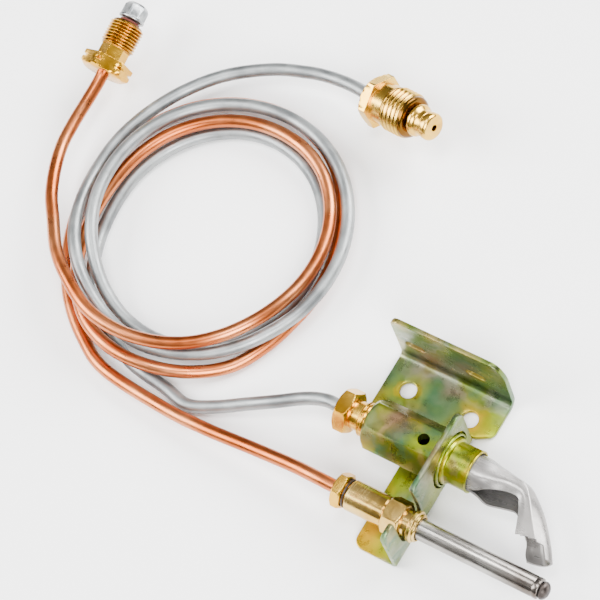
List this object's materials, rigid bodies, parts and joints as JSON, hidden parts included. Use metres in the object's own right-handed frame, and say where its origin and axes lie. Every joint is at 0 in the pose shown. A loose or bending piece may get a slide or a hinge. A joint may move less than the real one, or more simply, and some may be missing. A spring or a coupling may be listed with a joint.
{
  "type": "gas pilot assembly with thermocouple",
  "caption": "Gas pilot burner and thermocouple on a slotted steel bracket, with a coiled copper lead and a coiled aluminium gas tube ending in brass fittings.",
  "frame": {"origin": "on the back face of the bracket plate, below the pilot burner's axis and 6 mm behind the outer face of the side flange", "axes": "+X along the pilot and probe axes towards the flame, +Y towards the slotted flange, +Z out of the front of the plate; the plate and both coils lie on z = 0"},
  "size_m": [0.1679, 0.1031, 0.0186],
  "materials": {
    "zinc_plate": "zinc plate with yellow-green iridescent passivation, satin",
    "brass": "turned brass, bright machining marks",
    "copper": null,
    "aluminium": "dull drawn aluminium",
    "stainless": "drawn stainless steel, faint heat tint",
    "silver": "bright silvery solder-tinned metal",
    "red_fibre": "dark red insulating fibre",
    "dark_steel": "dark oxidised steel",
    "ceramic": "matt ceramic"
  },
  "bodies": {
    "assembly": {"bracket": "zinc_plate", "pilot_body": "zinc_plate", "mount_ring": "zinc_plate", "burner_tube": "zinc_plate", "pilot_orifice": "brass", "burner_hood": "stainless", "thermocouple_body": "brass", "probe_sheath": "stainless", "probe_tip": "dark_steel", "inner_rod": "dark_steel", "rod_insulator": "ceramic", "copper_lead": "copper", "gas_tube": "aluminium", "connector_seat": "copper", "insulating_washer": "red_fibre", "contact_cap": "silver", "contact_pin": "silver", "gas_nose": "brass"},
    "connector_nut": {"connector_nut": "brass"},
    "gas_nut": {"gas_nut": "brass"},
    "inlet_ferrule": {"inlet_ferrule": "brass"},
    "inlet_nut": {"inlet_nut": "brass"},
    "retainer_washer": {"retainer_washer": "dark_steel"},
    "retainer_nut": {"retainer_nut": "brass"}
  },
  "joints": [
    {"name": "connector_nut_spin", "type": "hinge", "parent": "assembly", "child": "connector_nut", "pos_m": [-0.1217, 0.0493, 0.0085], "axis": [-0.0186, 0.985, 0.1716], "continuous": true},
    {"name": "gas_nut_spin", "type": "hinge", "parent": "assembly", "child": "gas_nut", "pos_m": [-0.05645, 0.07185, 0.00785], "axis": [0.9608, -0.1511, 0.2325], "continuous": true},
    {"name": "inlet_ferrule_slide", "type": "slide", "parent": "assembly", "child": "inlet_ferrule", "axis": [-1, 0, 0], "range_m": [0, 0.00158]},
    {"name": "inlet_nut_turn", "type": "hinge", "parent": "inlet_ferrule", "child": "inlet_nut", "pos_m": [-0.02, 0, 0.0074], "axis": [-1, 0, 0], "range_deg": [0, 720]},
    {"name": "retainer_washer_slide", "type": "slide", "parent": "assembly", "child": "retainer_washer", "axis": [-1, 0, 0], "range_m": [0, 0.00158]},
    {"name": "retainer_nut_turn", "type": "hinge", "parent": "retainer_washer", "child": "retainer_nut", "pos_m": [-0.012, -0.0171, 0.0074], "axis": [-1, 0, 0], "range_deg": [0, 720]}
  ],
  "couplings": [
    {"joint": "inlet_nut_turn", "follows": "inlet_ferrule_slide", "rad_per_m": 7936.5},
    {"joint": "retainer_nut_turn", "follows": "retainer_washer_slide", "rad_per_m": 7936.5}
  ]
}
